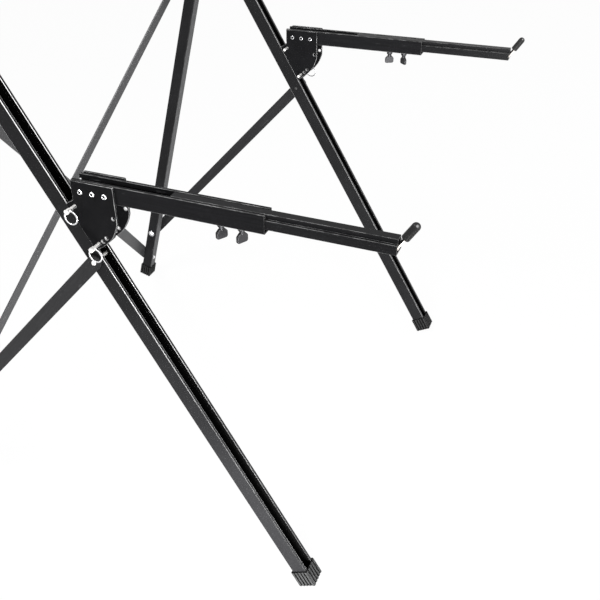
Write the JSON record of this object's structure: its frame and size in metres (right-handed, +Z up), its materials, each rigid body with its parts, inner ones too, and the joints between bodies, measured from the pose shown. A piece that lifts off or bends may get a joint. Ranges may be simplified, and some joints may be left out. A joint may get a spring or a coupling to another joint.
{
  "type": "a-frame keyboard stand",
  "caption": "Folding A-frame keyboard stand with crossed rear bars, quadrant brackets on ring pins and two sliding support arms with end pegs.",
  "frame": {"origin": "on the floor, under the centre of the stand's bounding box", "axes": "+Z up; +Y from the player towards the rear legs; +X to the right of a player who faces +Y"},
  "size_m": [0.9884, 1.1154, 1.0957],
  "materials": {
    "leg_paint": "satin black powder coat",
    "plate_paint": "gloss black paint",
    "brace_paint": "satin charcoal powder coat",
    "slide_paint": "satin black powder coat",
    "cap_plastic": "ribbed soft plastic",
    "block_plastic": "moulded nylon",
    "bright_steel": "bright nickel plate",
    "zinc_steel": "zinc plate",
    "thumb_metal": "cast zinc alloy",
    "peg_rubber": "smooth black rubber"
  },
  "bodies": {
    "rear_frame": {"rear_leg_plugs": "cap_plastic", "front_cross_bar": "brace_paint", "rear_cross_bar": "brace_paint", "cross_bar_fasteners": "zinc_steel", "left_rear_leg": "leg_paint", "left_rear_foot": "cap_plastic", "left_apex_bracket": "plate_paint", "left_apex_bolts": "zinc_steel", "left_brace_stud": "bright_steel", "right_rear_leg": "leg_paint", "right_rear_foot": "cap_plastic", "right_apex_bracket": "plate_paint", "right_apex_bolts": "zinc_steel", "right_brace_stud": "bright_steel"},
    "left_front_frame": {"left_front_leg": "leg_paint", "left_front_foot": "cap_plastic", "left_pivot_block": "block_plastic", "left_block_screws": "zinc_steel", "left_brace_bolt": "bright_steel", "left_apex_pivot": "bright_steel"},
    "left_brace": {"left_side_brace": "brace_paint"},
    "left_arm": {"left_outer_plate": "plate_paint", "left_inner_plate": "plate_paint", "left_arm_rail": "leg_paint", "left_plate_screws": "bright_steel", "left_plate_spacers": "block_plastic", "left_clamp_nuts": "zinc_steel"},
    "left_slide_unit": {"left_slide": "slide_paint", "left_peg_pin": "zinc_steel"},
    "left_peg": {"left_peg_rod": "bright_steel", "left_peg_sleeve": "peg_rubber"},
    "left_rear_thumb": {"left_rear_thumb_screw": "thumb_metal"},
    "left_front_thumb": {"left_front_thumb_screw": "thumb_metal"},
    "left_pivot_pin_unit": {"left_pivot_pin": "bright_steel"},
    "left_pivot_ring_unit": {"left_pivot_ring": "bright_steel"},
    "left_index_pin_unit": {"left_index_pin": "bright_steel"},
    "left_index_ring_unit": {"left_index_ring": "bright_steel"},
    "right_front_frame": {"right_front_leg": "leg_paint", "right_front_foot": "cap_plastic", "right_pivot_block": "block_plastic", "right_block_screws": "zinc_steel", "right_brace_bolt": "bright_steel", "right_apex_pivot": "bright_steel"},
    "right_brace": {"right_side_brace": "brace_paint"},
    "right_arm": {"right_outer_plate": "plate_paint", "right_inner_plate": "plate_paint", "right_arm_rail": "leg_paint", "right_plate_screws": "bright_steel", "right_plate_spacers": "block_plastic", "right_clamp_nuts": "zinc_steel"},
    "right_slide_unit": {"right_slide": "slide_paint", "right_peg_pin": "zinc_steel"},
    "right_peg": {"right_peg_rod": "bright_steel", "right_peg_sleeve": "peg_rubber"},
    "right_rear_thumb": {"right_rear_thumb_screw": "thumb_metal"},
    "right_front_thumb": {"right_front_thumb_screw": "thumb_metal"},
    "right_pivot_pin_unit": {"right_pivot_pin": "bright_steel"},
    "right_pivot_ring_unit": {"right_pivot_ring": "bright_steel"},
    "right_index_pin_unit": {"right_index_pin": "bright_steel"},
    "right_index_ring_unit": {"right_index_ring": "bright_steel"}
  },
  "joints": [
    {"name": "left_fold", "type": "hinge", "parent": "rear_frame", "child": "left_front_frame", "pos_m": [-0.45, 0.18244, 1.04484], "axis": [1, 0, 0], "range_deg": [0, 44]},
    {"name": "left_brace_swing", "type": "hinge", "parent": "left_front_frame", "child": "left_brace", "pos_m": [-0.45, -0.01683, 0.67784], "axis": [1, 0, 0], "range_deg": [-73.67, 0.5]},
    {"name": "left_arm_tilt", "type": "hinge", "parent": "left_front_frame", "child": "left_arm", "pos_m": [-0.45, 0.00185, 0.78035], "axis": [1, 0, 0], "range_deg": [0, 52]},
    {"name": "left_slide_out", "type": "slide", "parent": "left_arm", "child": "left_slide_unit", "axis": [0, -0.9994, -0.0349], "range_m": [-0.1, 0.06]},
    {"name": "left_peg_fold", "type": "hinge", "parent": "left_slide_unit", "child": "left_peg", "pos_m": [-0.45, -0.52604, 0.78823], "axis": [1, 0, 0], "range_deg": [0, 58]},
    {"name": "left_rear_thumb_turn", "type": "hinge", "parent": "left_arm", "child": "left_rear_thumb", "pos_m": [-0.45, -0.25444, 0.78431], "axis": [0, -0.0349, 0.9994], "continuous": true},
    {"name": "left_front_thumb_turn", "type": "hinge", "parent": "left_arm", "child": "left_front_thumb", "pos_m": [-0.45, -0.28892, 0.78311], "axis": [0, -0.0349, 0.9994], "continuous": true},
    {"name": "left_pivot_pin_pull", "type": "slide", "parent": "left_front_frame", "child": "left_pivot_pin_unit", "axis": [-1, 0, 0], "range_m": [0, 0.07]},
    {"name": "left_pivot_ring_swing", "type": "hinge", "parent": "left_pivot_pin_unit", "child": "left_pivot_ring_unit", "pos_m": [-0.49, 0.00185, 0.78035], "axis": [0, 0.9219, -0.3875], "range_deg": [-35, 80]},
    {"name": "left_index_pin_pull", "type": "slide", "parent": "left_front_frame", "child": "left_index_pin_unit", "axis": [-1, 0, 0], "range_m": [0, 0.07]},
    {"name": "left_index_ring_swing", "type": "hinge", "parent": "left_index_pin_unit", "child": "left_index_ring_unit", "pos_m": [-0.49, -0.03298, 0.7162], "axis": [0, 0.9219, -0.3875], "range_deg": [-35, 80]},
    {"name": "right_fold", "type": "hinge", "parent": "rear_frame", "child": "right_front_frame", "pos_m": [0.45, 0.18244, 1.04484], "axis": [1, 0, 0], "range_deg": [0, 44]},
    {"name": "right_brace_swing", "type": "hinge", "parent": "right_front_frame", "child": "right_brace", "pos_m": [0.45, -0.01683, 0.67784], "axis": [1, 0, 0], "range_deg": [-73.67, 0.5]},
    {"name": "right_arm_tilt", "type": "hinge", "parent": "right_front_frame", "child": "right_arm", "pos_m": [0.45, 0.00185, 0.78035], "axis": [1, 0, 0], "range_deg": [0, 52]},
    {"name": "right_slide_out", "type": "slide", "parent": "right_arm", "child": "right_slide_unit", "axis": [0, -0.9994, -0.0349], "range_m": [-0.1, 0.06]},
    {"name": "right_peg_fold", "type": "hinge", "parent": "right_slide_unit", "child": "right_peg", "pos_m": [0.45, -0.52604, 0.78823], "axis": [1, 0, 0], "range_deg": [0, 58]},
    {"name": "right_rear_thumb_turn", "type": "hinge", "parent": "right_arm", "child": "right_rear_thumb", "pos_m": [0.45, -0.25444, 0.78431], "axis": [0, -0.0349, 0.9994], "continuous": true},
    {"name": "right_front_thumb_turn", "type": "hinge", "parent": "right_arm", "child": "right_front_thumb", "pos_m": [0.45, -0.28892, 0.78311], "axis": [0, -0.0349, 0.9994], "continuous": true},
    {"name": "right_pivot_pin_pull", "type": "slide", "parent": "right_front_frame", "child": "right_pivot_pin_unit", "axis": [1, 0, 0], "range_m": [0, 0.07]},
    {"name": "right_pivot_ring_swing", "type": "hinge", "parent": "right_pivot_pin_unit", "child": "right_pivot_ring_unit", "pos_m": [0.49, 0.00185, 0.78035], "axis": [0, 0.9219, -0.3875], "range_deg": [-80, 35]},
    {"name": "right_index_pin_pull", "type": "slide", "parent": "right_front_frame", "child": "right_index_pin_unit", "axis": [1, 0, 0], "range_m": [0, 0.07]},
    {"name": "right_index_ring_swing", "type": "hinge", "parent": "right_index_pin_unit", "child": "right_index_ring_unit", "pos_m": [0.49, -0.03298, 0.7162], "axis": [0, 0.9219, -0.3875], "range_deg": [-80, 35]}
  ],
  "couplings": [
    {"joint": "left_brace_swing", "follows": "left_fold", "ratio": -1.6631},
    {"joint": "right_brace_swing", "follows": "right_fold", "ratio": -1.6631}
  ]
}
